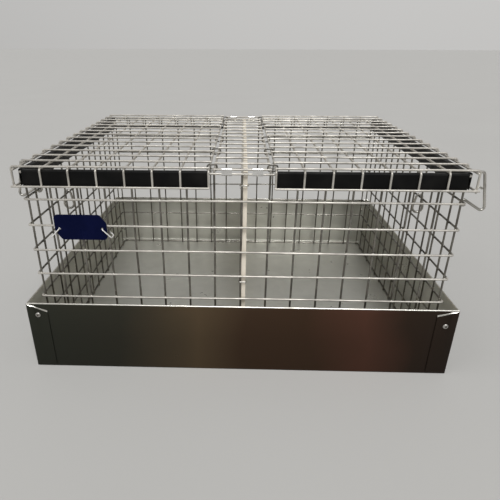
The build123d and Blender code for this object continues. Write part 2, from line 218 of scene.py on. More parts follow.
def grid_faces(rows: int, columns: int, close_rows: bool = False, close_columns: bool = True) -> Array:
    """Four-cornered faces between neighbouring rows of points.

    Args:
        rows: number of rows.
        columns: points in a row.
        close_rows: whether the last row joins the first.
        close_columns: whether each row is a ring.

    Returns:
        Array of four point numbers a face.
    """
    row = np.arange(rows if close_rows else rows - 1)[:, None]
    column = np.arange(columns if close_columns else columns - 1)[None]
    after, beside = (row + 1) % rows, (column + 1) % columns
    corners = ((row, column), (row, beside), (after, beside), (after, column))
    return np.stack([start * columns + number for start, number in corners], axis=2).reshape(-1, 4)


def end_caps(rows: int, columns: int) -> Array:
    """Caps of a row of rings: the first ring turned round, and the last one."""
    ring = np.arange(columns)
    return np.stack([ring[::-1], (rows - 1) * columns + ring])


def repeat_faces(rows: Array, count: int, points: int) -> Array:
    """Faces of a repeated shape: its point numbers plus whole multiples of its point count."""
    return (rows[None] + np.arange(count)[:, None, None] * points).reshape(-1, rows.shape[1])


def carry(
    profile: Array,
    path: Array,
    normal: Point,
    places: Array | None = None,
    closed: bool = False,
    soften: float = 0.0,
    scale: Array | None = None,
    sway: Array | None = None,
) -> Surface:
    """Carries a closed profile along a flat path, once for each place.

    A point is place + path(i) + a * side(i) + b * normal, with (a, b) a point of the profile and side the
    cross product of the normal and the path's direction; open ends get a flat cap.

    Args:
        profile: points (a, b), counter-clockwise.
        path: points along the path.
        normal: normal of the path's plane.
        places: shifts of the repeats.
        closed: whether the path is a loop.
        soften: rounding of the cut ends.
        scale: factor on the profile at each point of the path.
        sway: shift of each repeat at each point of the path.

    Returns:
        The carried surfaces in one.
    """
    places = np.zeros((1, 3)) if places is None else places
    along = unit(np.roll(path, -1, 0) - np.roll(path, 1, 0) if closed else np.gradient(path, axis=0))
    factor = np.ones(len(path)) if scale is None else scale
    shift = np.zeros((len(places), len(path), 3)) if sway is None else sway
    if soften:
        keep = np.concatenate([[0], np.arange(len(path)), [len(path) - 1]])
        path, along, factor, shift = path[keep], along[keep], factor[keep], shift[:, keep]
        path[1] += along[1] * soften
        path[-2] -= along[-2] * soften
        factor[[0, -1]] = 1 - soften / np.abs(profile).max()
    ring = profile[:, :1] * np.cross(normal, along)[:, None] + profile[:, 1:] * np.asarray(normal)
    points = (places[:, None] + shift + path)[:, :, None] + factor[:, None, None] * ring
    rows, columns = len(path), len(profile)
    faces = [grid_faces(rows, columns, closed)]
    if not closed:
        faces += [cap[None] for cap in end_caps(rows, columns)]
    faces = [repeat_faces(part, len(places), rows * columns) for part in faces]
    return Surface(points.reshape(-1, 3), faces, [0] * len(faces))


def waves(path: Array, count: int, direction: Point, amount: float, seed: int) -> Array:
    """Slow unevenness of drawn wires: amount * sin(2 pi (k u + p)) * sin(pi u), u the share of the length.

    Args:
        path: points along the wires.
        count: number of wires.
        direction: direction of the shift.
        amount: largest shift.
        seed: seed of the random waves.

    Returns:
        Shift of each wire at each point of the path.
    """
    draw = np.random.default_rng(int(seed))
    run = run_lengths(path)
    share = run / run[-1]
    turns = draw.uniform(*WAVE_TURNS, (count, 1)) * share + draw.uniform(0, 1, (count, 1))
    size = amount * draw.uniform(*WAVE_SHARES, (count, 1))
    lift = size * np.sin(2 * math.pi * turns) * np.sin(math.pi * share)
    return lift[:, :, None] * np.asarray(direction)


def nuggets(places: Array, radii: Array, sides: int = 8) -> Surface:
    """Weld nuggets: a low-faced ellipsoid round each place, rings at steps of latitude and two flat poles.

    Args:
        places: middles of the welds.
        radii: half sizes along X, Y and Z.
        sides: points in a ring.

    Returns:
        All nuggets in one surface.
    """
    rise = np.radians(WELD_LATITUDES)
    path = np.stack([0 * rise, 0 * rise, np.sin(rise)], axis=1)
    ball = carry(circle(1.0, sides), path, RIGHT, scale=np.cos(rise))
    points = places[:, None] + ball.points * radii
    faces = [repeat_faces(rows, len(places), len(ball.points)) for rows in ball.faces]
    return Surface(points.reshape(-1, 3), faces, ball.finish)


def crossings(xs: Lines, ys: Lines, zs: Lines) -> Array:
    """Every combination of the given X, Y and Z as rows of points."""
    return np.stack(np.meshgrid(xs, ys, zs, indexing="ij"), axis=-1).reshape(-1, 3).astype(float)


def make_piece(
    node: str, form: str, surface: Surface, finishes: list[Material], body: str
) -> None:
    """Puts a surface into a mesh object that stands for a CAD node, parents it to its body and hides the
    node.

    Args:
        node: CAD node that the piece stands for.
        form: what it is made of, which ends the piece's name.
        surface: its points and faces.
        finishes: materials in the order of the faces' finish numbers.
        body: body that it rides on.
    """
    name = f"{node}_{form}"
    mesh = bpy.data.meshes.new(name)
    rows = [row for part in surface.faces for row in part.tolist()]
    mesh.from_pydata((surface.points * MM).tolist(), [], rows)
    numbers = np.repeat(np.array(surface.finish, np.int32), [len(part) for part in surface.faces])
    mesh.polygons.foreach_set("material_index", numbers)
    mesh.polygons.foreach_set("use_smooth", np.ones(len(rows), bool))
    mesh.set_sharp_from_angle(angle=math.radians(CREASE))
    for finish in finishes:
        mesh.materials.append(finish)
    mesh.validate()
    piece = bpy.data.objects.new(name, mesh)
    bpy.context.scene.collection.objects.link(piece)
    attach(piece, body)
    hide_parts(node)
    LOG.info("%s on %s: %d points, %d faces", name, body, len(mesh.vertices), len(mesh.polygons))


class Bench:
    """Workbench for the nodes of one material or world."""

    def __init__(self, tree: bpy.types.NodeTree, space: str) -> None:
        """Starts on a tree, with the coordinates that its patterns read."""
        self.tree = tree
        self.place = self.node("ShaderNodeTexCoord").outputs[space]

    def feed(self, socket: Socket, value: object) -> None:
        """Links a socket to another one, or sets its value.

        Args:
            socket: socket that is fed.
            value: value, or socket to link.
        """
        if isinstance(value, Socket):
            self.tree.links.new(value, socket)
        else:
            socket.default_value = value

    def node(self, kind: str, **inputs: object) -> bpy.types.Node:
        """Adds a node and feeds its named sockets, an underscore standing for a space.

        Args:
            kind: Blender's name of the node type.
            inputs: socket values or sockets to link.

        Returns:
            The new node.
        """
        made = self.tree.nodes.new(kind)
        for name, value in inputs.items():
            self.feed(made.inputs[name.replace("_", " ")], value)
        return made

    def worked(self, kind: str, operation: str, *values: object) -> bpy.types.Node:
        """Adds a math node and feeds its sockets in order.

        Args:
            kind: Blender's name of the node type.
            operation: what it works out.
            values: socket values, sockets to link, or None where a socket isn't used.

        Returns:
            The new node.
        """
        made = self.node(kind)
        made.operation = operation
        for socket, value in zip(made.inputs, values):
            if value is not None:
                self.feed(socket, value)
        return made

    def noise(self, scale: float, detail: float = 3.0, stretch: Point = (1.0, 1.0, 1.0)) -> Socket:
        """Cloudy noise over the coordinates.

        Args:
            scale: clouds in a metre.
            detail: layers of finer clouds.
            stretch: factors on the axes, small ones drawing the clouds out.

        Returns:
            Socket of the noise.
        """
        mapping = self.node("ShaderNodeMapping", Vector=self.place, Scale=stretch)
        made = self.node("ShaderNodeTexNoise", Vector=mapping.outputs["Vector"], Scale=scale, Detail=detail)
        return made.outputs["Fac"]

    def ramp(self, value: Socket, stops: list[tuple[float, Colour]]) -> Socket:
        """Colours between stops.

        Args:
            value: socket that picks the colour.
            stops: places from 0 to 1 with their colours.

        Returns:
            Socket of the colour.
        """
        made = self.node("ShaderNodeValToRGB", Fac=value)
        elements = made.color_ramp.elements
        while len(elements) < len(stops):
            elements.new(0.5)
        for element, (place, colour) in zip(elements, stops):
            element.position, element.color = place, (*colour, 1.0)
        return made.outputs["Color"]

    def greys(self, value: Socket, stops: tuple[Pair, ...]) -> Socket:
        """Greys between stops, given as places from 0 to 1 and their levels."""
        return self.ramp(value, [(place, (level, level, level)) for place, level in stops])

    def spread(self, value: Socket, low: float, high: float) -> Socket:
        """Brings the middle of a noise to the range from low to high."""
        span = {"From_Min": NOISE_LOW, "From_Max": NOISE_HIGH, "To_Min": low, "To_Max": high}
        return self.node("ShaderNodeMapRange", Value=value, **span).outputs["Result"]

    def tinted(self, colour: Socket, tint: Socket) -> Socket:
        """The product of two colours.

        Args:
            colour: socket of the first colour.
            tint: socket of the second.

        Returns:
            Socket of the product.
        """
        made = self.node("ShaderNodeMix")
        made.data_type, made.blend_type = "RGBA", "MULTIPLY"
        for number, value in ((MIX_SHARE, 1.0), (MIX_FIRST, colour), (MIX_SECOND, tint)):
            self.feed(made.inputs[number], value)
        return made.outputs[MIX_COLOUR]


class Coat(Bench):
    """Workbench for a material with one principled shader."""

    def __init__(self, name: str) -> None:
        """Starts the material, its shader on its output.

        Args:
            name: name of the material.
        """
        self.material = bpy.data.materials.new(name)
        self.material.use_nodes = True
        self.material.node_tree.nodes.clear()
        super().__init__(self.material.node_tree, "Object")
        self.shader = self.node("ShaderNodeBsdfPrincipled")
        self.node("ShaderNodeOutputMaterial", Surface=self.shader.outputs["BSDF"])

    def bump(self, height: Socket, strength: float, depth: float) -> None:
        """Puts a bump of the given depth in metres on the shader's normal."""
        made = self.node("ShaderNodeBump", Strength=strength, Distance=depth, Height=height)
        self.feed(self.shader.inputs["Normal"], made.outputs["Normal"])

    def finish(self, colour: Socket, metallic: float, roughness: object) -> Material:
        """Sets the shader's colour, share of metal and roughness.

        Args:
            colour: socket of the base colour.
            metallic: share of metal.
            roughness: roughness or its socket.

        Returns:
            The finished material.
        """
        for name, value in (("Base Color", colour), ("Metallic", metallic), ("Roughness", roughness)):
            self.feed(self.shader.inputs[name], value)
        return self.material


@dataclass(frozen=True)
class DrawnWire:
    """Zinc-coated drawn wire: cloudy bright and dull stretches with fine drips of zinc."""

    name: str
    bright: Colour
    dull: Colour
    metallic: float = 1.0
    smooth: float = 0.22
    rough: float = 0.42

    def build(self) -> Material:
        """Builds the material.

        Returns:
            The finished material.
        """
        coat = Coat(self.name)
        cloud = coat.noise(70.0, detail=4.0)
        colour = coat.ramp(cloud, [(0.32, self.dull), (0.62, self.bright)])
        coat.bump(coat.noise(900.0, detail=2.0), strength=0.25, depth=0.0002)
        return coat.finish(colour, self.metallic, coat.spread(cloud, self.rough, self.smooth))


@dataclass(frozen=True)
class SpangledSheet:
    """Bright side of galvanised sheet: faint zinc crystals, cloudy dull patches and rubbed streaks."""

    name: str
    pale: Colour
    grey: Colour
    metallic: float = 0.7
    smooth: float = 0.27
    rough: float = 0.31
    crystals: float = 85.0
    crystal_levels: tuple[Pair, ...] = ((0.0, 0.95), (1.0, 1.0))

    def build(self) -> Material:
        """Builds the material.

        Returns:
            The finished material.
        """
        coat = Coat(self.name)
        cells = coat.node("ShaderNodeTexVoronoi", Vector=coat.place, Scale=self.crystals)
        crystal = coat.node("ShaderNodeSeparateColor", Color=cells.outputs["Color"]).outputs["Red"]
        colour = coat.ramp(coat.noise(9.0, detail=5.0), [(0.25, self.grey), (0.75, self.pale)])
        colour = coat.tinted(colour, coat.greys(crystal, self.crystal_levels))
        coat.bump(coat.noise(60.0, stretch=(0.15, 1.0, 1.0)), strength=0.01, depth=0.0001)
        rubbed = coat.noise(26.0, detail=4.0)
        return coat.finish(colour, self.metallic, coat.spread(rubbed, self.smooth, self.rough))


@dataclass(frozen=True)
class WeatheredSheetPaintedLight:
    """Outer side of the tray: weathered zinc with painted shade and bands of painted reflection, from olive
    grey to brown across, darker towards the floor.
    """

    name: str
    stops: tuple[tuple[float, Colour], ...]
    metallic: float = 0.85
    smooth: float = 0.26
    rough: float = 0.4
    reach: float = 0.22  # half the width that the colours run over, in metres
    drift: float = 0.5  # share of the reach by which clouds move the colours
    height: float = 0.076
    # factors on the colour by height, darker towards the floor
    height_levels: tuple[Pair, ...] = ((0.0, 0.75), (0.5, 0.85), (1.0, 1.1))

    def build(self) -> Material:
        """Builds the material.

        Returns:
            The finished material.
        """
        coat = Coat(self.name)
        axes = coat.node("ShaderNodeSeparateXYZ", Vector=coat.place).outputs
        share = self.reach * self.drift
        # Colour stops across X, the lighter bands among them painted reflection, shifted by a noise.
        drift = coat.worked("ShaderNodeMath", "MULTIPLY_ADD", coat.noise(5.0), share, axes["X"])
        ends = {"From_Min": (self.drift / 2 - 1) * self.reach, "From_Max": (self.drift / 2 + 1) * self.reach}
        across = coat.node("ShaderNodeMapRange", Value=drift.outputs[0], **ends)
        # Darker towards the floor.
        rise = coat.node("ShaderNodeMapRange", Value=axes["Z"], From_Max=self.height)
        height_tone = coat.greys(rise.outputs["Result"], self.height_levels)
        colour = coat.tinted(coat.ramp(across.outputs["Result"], list(self.stops)), height_tone)
        coat.bump(coat.noise(420.0, stretch=(0.03, 0.03, 1.0)), strength=0.05, depth=0.0002)
        rubbed = coat.noise(14.0, detail=4.0)
        return coat.finish(colour, self.metallic, coat.spread(rubbed, self.smooth, self.rough))


@dataclass(frozen=True)
class MouldedPlastic:
    """Moulded plastic or enamelled plate: a fine leathery grain and rubbed patches."""

    name: str
    colour: Colour
    rubbed: Colour
    smooth: float = 0.34
    rough: float = 0.55
    grain: float = 0.15
    sheen: float = 0.1

    def build(self) -> Material:
        """Builds the material.

        Returns:
            The finished material.
        """
        coat = Coat(self.name)
        colour = coat.ramp(coat.noise(45.0, detail=5.0), [(0.45, self.colour), (0.75, self.rubbed)])
        coat.bump(coat.noise(1400.0, detail=2.0), self.grain, depth=0.0001)
        coat.shader.inputs["Specular IOR Level"].default_value = self.sheen
        return coat.finish(colour, 0.0, coat.spread(coat.noise(120.0), self.smooth, self.rough))


@dataclass(frozen=True)
class PaleSheet:
    """Pale coated sheet of the divider: cream with dusty upright smears."""

    name: str
    cream: Colour
    dust: Colour
    metallic: float = 0.15
    smooth: float = 0.36
    rough: float = 0.55

    def build(self) -> Material:
        """Builds the material.

        Returns:
            The finished material.
        """
        coat = Coat(self.name)
        smear = coat.noise(40.0, detail=5.0, stretch=(1.0, 1.0, 0.2))
        colour = coat.ramp(smear, [(0.3, self.dust), (0.6, self.cream)])
        coat.bump(coat.noise(500.0), strength=0.1, depth=0.0002)
        return coat.finish(colour, self.metallic, coat.spread(smear, self.rough, self.smooth))


@dataclass(frozen=True)
class StampedMetal:
    """Bright stamped or set metal: fine scratches along X over a clean plating."""

    name: str
    plating: Colour
    worn: Colour
    smooth: float = 0.16
    rough: float = 0.36
    metallic: float = 0.95

    def build(self) -> Material:
        """Builds the material.

        Returns:
            The finished material.
        """
        coat = Coat(self.name)
        scratch = coat.noise(600.0, stretch=(0.15, 1.0, 1.0))
        colour = coat.ramp(scratch, [(0.3, self.worn), (0.6, self.plating)])
        coat.bump(scratch, strength=0.12, depth=0.0001)
        return coat.finish(colour, self.metallic, coat.spread(scratch, self.rough, self.smooth))


class Finishes:
    """All materials of the cage, by use."""

    def __init__(self) -> None:
        """Builds each material once."""
        mesh = DrawnWire("mesh_zinc", (0.56, 0.533, 0.482), (0.38, 0.36, 0.325), 0.5, 0.32, 0.48)
        self.mesh = mesh.build()
        # Darker copy of the mesh wire: painted shade on the uprights and on the back and side walls.
        self.dull = DrawnWire("mesh_painted_shade", (0.25, 0.24, 0.215), (0.13, 0.12, 0.105)).build()
        self.latch = DrawnWire("latch_zinc", (0.6, 0.58, 0.54), (0.34, 0.33, 0.3)).build()
        self.link = DrawnWire("link_zinc", (0.5, 0.48, 0.44), (0.27, 0.26, 0.235)).build()
        self.ring = DrawnWire("ring_steel", (0.32, 0.31, 0.285), (0.16, 0.15, 0.135)).build()
        self.tie = DrawnWire("tie_bright", (0.9, 0.89, 0.87), (0.72, 0.71, 0.69), metallic=0.35).build()
        self.inside = SpangledSheet("tray_zinc", (0.66, 0.655, 0.6), (0.56, 0.555, 0.505)).build()
        # Olive grey to brown across the tray, with painted shade; the lighter stop at 0.38 is a painted
        # reflection band.
        outside_stops_painted_light = (
            (0.0, (0.0349, 0.0371, 0.0283)),
            (0.22, (0.0403, 0.0382, 0.0283)),
            (0.38, (0.114, 0.0796, 0.0458)),
            (0.52, (0.0632, 0.0371, 0.0218)),
            (0.68, (0.061, 0.0338, 0.0196)),
            (0.8, (0.1, 0.0447, 0.0294)),
            (0.9, (0.0371, 0.0229, 0.0153)),
            (1.0, (0.0294, 0.0207, 0.0153)),
        )
        self.outside = WeatheredSheetPaintedLight("tray_outside_painted_light", outside_stops_painted_light).build()
        # Brighter metal on the rolled rim and the tabs' top edges: a painted highlight.
        self.rim = StampedMetal("rim_painted_highlight", (0.8, 0.78, 0.72), (0.62, 0.6, 0.55), 0.25, 0.42).build()
        self.strip = MouldedPlastic("strip_black", (0.004, 0.004, 0.004), (0.01, 0.0095, 0.009)).build()
        navy, rubbed = (0.0018, 0.0035, 0.024), (0.003, 0.005, 0.034)
        tag = MouldedPlastic("tag_navy", navy, rubbed, 0.25, 0.4, grain=0.05, sheen=0.05)
        self.tag = tag.build()
        self.divider = PaleSheet("divider_cream", (0.88, 0.81, 0.69), (0.76, 0.69, 0.58)).build()
        self.clip = StampedMetal("clip_bright", (0.82, 0.81, 0.79), (0.6, 0.59, 0.57)).build()
        self.rivet = StampedMetal("rivet_dull", (0.5, 0.48, 0.45), (0.3, 0.29, 0.27), 0.28, 0.5).build()


@dataclass
class Layout:
    """Main lines of the cage: the mesh's square, wire and layers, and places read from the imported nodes."""

    pitch: float = 25.4
    wire: float = 2.0
    layer: float = 2.02
    wall_bend: float = 2.5

    def __post_init__(self) -> None:
        """Reads the boxes of a wall, the top strip and a lid; a wire's middle is half a wire inside them."""
        radius = self.radius = self.wire / 2
        wall, strip, lid = (box_mm(node) for node in ("front_wall", "top_strip", "right_lid"))
        self.side_x, self.front_y = wall[1, 0] - radius, wall[0, 1] + radius
        self.wall_low, self.wall_top = wall[0, 2] + radius, wall[1, 2] - radius
        self.strip_x = strip[1, 0] - radius
        self.strip_fore, self.strip_cross = strip[0, 2] + radius, strip[1, 2] - radius
        self.hinge_x, self.flange_x = lid[0, 0] + radius, lid[1, 0] - radius
        self.flange_y = lid[0, 1] + radius + self.layer
        self.lid_fore, self.lid_cross = lid[1, 2] - radius - self.layer, lid[1, 2] - radius
        self.wire_end = lid[0, 2]

    @property
    def levels(self) -> Array:
        """Heights of the walls' level wires."""
        return np.linspace(self.wall_low, self.wall_top, self.squares(self.wall_top - self.wall_low) + 1)

    def squares(self, length: float) -> int:
        """Whole mesh squares in a length."""
        return round(length / self.pitch)


@dataclass
class WireMesh:
    """Welded mesh, the base of the walls and the lids."""

    lay: Layout
    finishes: Finishes
    bend: float = 2.5
    sides: int = 10
    uneven: float = 0.35
    end_soft: float = 0.3
    weld: float = 1.22
    weld_flat: float = 0.75

    def wires(
        self,
        corners: list[Point],
        normal: Point,
        places: Array,
        swing: Point | None = None,
        seed: int = 0,
        cut: bool = True,
    ) -> Surface:
        """Round wires along one bent path at several places.

        Args:
            corners: corners of the path.
            normal: normal of the path's plane.
            places: shifts of the wires.
            swing: direction of their unevenness, if they have any.
            seed: seed of the unevenness.
            cut: whether the ends show and are softened.

        Returns:
            All wires in one surface.
        """
        path = bent_path(corners, self.bend)
        sway = waves(path, len(places), swing, self.uneven, seed) if swing else None
        soften = self.end_soft if cut else 0.0
        return carry(circle(self.lay.radius, self.sides), path, normal, places, soften=soften, sway=sway)

    def welds(self, xs: Lines, ys: Lines, zs: Lines, axis: int) -> Surface:
        """A nugget on every crossing, flatter along the axis on which the wires lie on each other."""
        radii = np.where(np.arange(3) == axis, self.weld_flat * self.weld, self.weld)
        return nuggets(crossings(xs, ys, zs), radii)


@dataclass
class WireWalls(WireMesh):
    """The four walls and the fixed top strip of welded mesh."""

    leg: float = 1.5  # level wires past a corner's bend
    corner_in: float = 0.45  # corner uprights from the bend, in wires

    def uprights(self, xs: Lines, ys: Lines, swing: Point, seed: int) -> Surface:
        """Upright wires from under the lowest level wire to over the top one.

        Args:
            xs: their places along X.
            ys: their places along Y.
            swing: direction of their unevenness.
            seed: seed of the unevenness.

        Returns:
            All uprights in one surface.
        """
        lay = self.lay
        ends = [(0, 0, lay.wall_low - lay.radius), (0, 0, lay.wall_top + lay.radius)]
        return self.wires(ends, BACK, crossings(xs, ys, [0]), swing, seed)

    def end_wall(self, end: int) -> Surface:
        """Front or back wall: level wires with bent corners, uprights inside them and welded crossings.

        Args:
            end: -1 for the front and 1 for the back.

        Returns:
            The wall's surface, the uprights with finish 1, the darker wire that is painted shade.
        """
        lay, half = self.lay, self.lay.side_x
        face_y = -end * lay.front_y
        inner_y = face_y - end * (self.bend + self.leg)
        corners = [(-half, inner_y, 0), (-half, face_y, 0), (half, face_y, 0), (half, inner_y, 0)]
        level = self.wires(corners, UP, crossings([0], [0], lay.levels), UP, Seed.END_LEVEL + end, cut=False)
        corner_x = half - self.bend - self.corner_in * lay.wire
        inner = np.arange(lay.pitch - half, half - lay.radius, lay.pitch)
        xs = np.concatenate([[-corner_x], inner, [corner_x]])
        upright = self.uprights(xs, [face_y - end * lay.layer], RIGHT, Seed.END_UPRIGHT + end)
        welds = self.welds(xs, [face_y - end * lay.layer / 2], lay.levels, axis=1)
        # The uprights take the darker wire as painted shade.
        return Surface.joined([level, upright.dressed(1), welds])

    def side_wall(self, side: Side) -> Surface:
        """Side wall: straight level wires between the corner bends, uprights inside and welded crossings.

        Args:
            side: which wall.

        Returns:
            The wall's surface.
        """
        lay, sign = self.lay, side.value
        reach = -lay.front_y - self.bend - self.leg
        places = crossings([sign * lay.side_x], [0], lay.levels)
        level = self.wires([(0, -reach, 0), (0, reach, 0)], UP, places, UP, Seed.SIDE_LEVEL + sign, cut=False)
        first = lay.front_y + self.bend + lay.pitch - math.pi / 2 * self.bend
        ys = np.arange(first, lay.radius - first, lay.pitch)
        upright = self.uprights([sign * (lay.side_x - lay.layer)], ys, BACK, Seed.SIDE_UPRIGHT + sign)
        welds = self.welds([sign * (lay.side_x - lay.layer / 2)], ys, lay.levels, axis=0)
        return Surface.joined([level, upright, welds])

    def top_strip(self) -> Surface:
        """Fixed strip between the lids: fore-and-aft wires with cross wires on top.

        Returns:
            The strip's surface.
        """
        lay = self.lay
        reach, half = lay.radius - lay.front_y, lay.strip_x + lay.radius
        fore_z, cross_z = lay.strip_fore, lay.strip_cross
        xs = np.linspace(-lay.strip_x, lay.strip_x, lay.squares(2 * lay.strip_x) + 1)
        ys = np.linspace(lay.front_y, -lay.front_y, lay.squares(-2 * lay.front_y) + 1)
        ends = [(0, -reach, fore_z), (0, reach, fore_z)]
        fore = self.wires(ends, UP, crossings(xs, [0], [0]), RIGHT, Seed.STRIP_FORE)
        ends = [(-half, 0, cross_z), (half, 0, cross_z)]
        cross = self.wires(ends, UP, crossings([0], ys, [0]), BACK, Seed.STRIP_CROSS)
        return Surface.joined([fore, cross, self.welds(xs, ys, [(fore_z + cross_z) / 2], axis=2)])

    def build(self) -> None:
        """Makes the walls and the strip."""
        # The back and side walls and the front uprights take the darker wire as painted shade.
        walls = {"front_wall": self.end_wall(-1), "back_wall": self.end_wall(1).dressed(1)}
        walls |= {f"{side.word}_wall": self.side_wall(side).dressed(1) for side in Side}
        walls["top_strip"] = self.top_strip()
        finishes = [self.finishes.mesh, self.finishes.dull]
        for node, surface in walls.items():
            make_piece(node, "mesh", surface, finishes, Body.CAGE.value)


@dataclass
class Lid(WireMesh):
    """One hinged lid: mesh with its edges bent down on three sides."""

    side: Side = Side.LEFT
    uneven: float = 0.4
    nest: float = 2.354  # wire in the outer bend, from the lid's outermost lines
    edge_in: float = 0.1  # outer cross wires from the bends, in wires
    squares: tuple[int, int] = (6, 14)

    def mesh(self) -> Surface:
        """Cross wires over fore-and-aft wires, bent down at the edges, with the edge wires and welds.

        Returns:
            The lid's surface.
        """
        lay, sign = self.lay, self.side.value
        seed = Seed.LID + 5 * sign
        xs = sign * np.linspace(lay.hinge_x, lay.hinge_x + self.squares[0] * lay.pitch, self.squares[0] + 1)
        first = lay.flange_y + self.bend - self.edge_in * lay.wire
        ys = np.linspace(first, -first, self.squares[1] + 1)
        front, foot, fore_z, cross_z = lay.flange_y, lay.wire_end, lay.lid_fore, lay.lid_cross
        corners = [(0, front, foot), (0, front, fore_z), (0, -front, fore_z), (0, -front, foot)]
        fore = self.wires(corners, RIGHT, crossings(xs, [0], [0]), RIGHT, seed)
        near, outer = sign * (lay.hinge_x - lay.radius), sign * lay.flange_x
        corners = [(near, 0, cross_z), (outer, 0, cross_z), (outer, 0, foot)]
        cross = self.wires(corners, BACK, crossings([0], ys, [0]), BACK, seed + 1)
        far, edge_x = sign * (lay.flange_x + lay.radius), sign * (lay.flange_x - lay.layer)
        edge_y, edge_z = front - lay.layer, foot + lay.radius
        level = self.wires([(near, 0, edge_z), (far, 0, edge_z)], UP, crossings([0], [edge_y, -edge_y], [0]))
        reach = lay.radius - front
        places = np.array([(edge_x, 0, edge_z), (sign * (lay.flange_x - self.nest), 0, cross_z - self.nest)])
        long = self.wires([(0, -reach, 0), (0, reach, 0)], UP, places)
        weld_x, weld_y = edge_x + sign * lay.layer / 2, edge_y + lay.layer / 2
        welds = [
            self.welds(xs, ys, [(fore_z + cross_z) / 2], axis=2),
            self.welds(xs, [weld_y, -weld_y], [edge_z], axis=1),
            self.welds([weld_x], ys, [edge_z], axis=0),
        ]
        return Surface.joined([fore, cross, level, long, *welds])

    def build(self) -> None:
        """Makes the lid's mesh."""
        node = f"{self.side.word}_lid"
        make_piece(node, "mesh", self.mesh(), [self.finishes.mesh], node)


@dataclass
class EdgeStrips:
    """Black plastic channels pushed over the walls' top edges; those at the back are low."""

    finishes: Finishes
    thick: float = 1.0
    crown: float = 1.4
    lip: float = 0.35
    back_high: float = 3.0
    arc_points: int = 6

    def section(self, wide: float, high: float) -> Array:
        """Section of a channel that is open below: a rounded crown, legs with rounded lips and a slot.

        Args:
            wide: width over both legs.
            high: height of the legs.

        Returns:
            Points (across, up) of the closed section about the middle of its box, counter-clockwise.
        """
        half, top, inner = wide / 2, high / 2, wide / 2 - self.thick
        lip, crown = self.lip, self.crown
        corners = [(inner, -top), (half, -top), (half, top), (-half, top), (-half, -top), (-inner, -top)]
        radii = np.array([lip, lip, crown, crown, lip, lip])[:, None]
        starts = np.radians([180.0, 270.0, 0.0, 90.0, 180.0, 270.0])
        turns = starts[:, None] + np.linspace(0, math.pi / 2, self.arc_points)
        middle = turns.mean(axis=1)
        inward = -np.sign(np.stack([np.cos(middle), np.sin(middle)], axis=1))
        centres = np.array(corners) + radii * inward
        arcs = centres[:, None] + radii[:, None] * np.stack([np.cos(turns), np.sin(turns)], axis=2)
        slot = [(-inner, top - self.thick), (inner, top - self.thick)]
        return np.concatenate([arcs.reshape(-1, 2), slot])

    def strip(self, node: str) -> Surface:
        """Channel along the longest axis of its node's box: it fills the box, and at the back only its foot.

        Args:
            node: CAD node of the strip.

        Returns:
            The strip's surface.
        """
        low, high = box_mm(node)
        if low[1] > 0:
            high[2] = low[2] + self.back_high
        size, middle = high - low, (low + high) / 2
        axis = int(np.argmax(size))
        along = np.where(np.arange(3) == axis, size / 2, 0)
        path = bent_path([middle - along, middle + along])
        return carry(self.section(size[1 - axis], size[2]), path, UP)

    def build(self) -> None:
        """Makes the six strips."""
        for node in (f"{side.word}_{place}_strip" for side in Side for place in ("front", "side", "back")):
            make_piece(node, "channel", self.strip(node), [self.finishes.strip], Body.CAGE.value)


def hook_rings(low: Pair, high: Pair, bend: float, wire: float, frames: list[list[Point]]) -> Surface:
    """Squeezed wire rings: a rounded rectangle in each frame's axes, open by a gap in its lower side.

    Args:
        low: lowest corner of the wire's middle line.
        high: highest corner.
        bend: radius of the corners.
        wire: diameter of the wire.
        frames: origin and two axes of each ring.

    Returns:
        The rings in one surface.
    """
    gap, soft, sides, spacing, steps = 0.5, 0.3, 8, 4.0, 5
    (left, foot), (right, top) = low, high
    middle = (left + right) / 2
    first, last = (middle - gap / 2, foot), (middle + gap / 2, foot)
    flat = np.array([first, (left, foot), (left, top), (right, top), (right, foot), last])
    rings = []
    for origin, across, above in np.array(frames, float):
        path = bent_path(origin + flat[:, :1] * across + flat[:, 1:] * above, bend, spacing, steps)
        rings.append(carry(circle(wire / 2, sides), path, np.cross(across, above), soften=soft))
    return Surface.joined(rings)


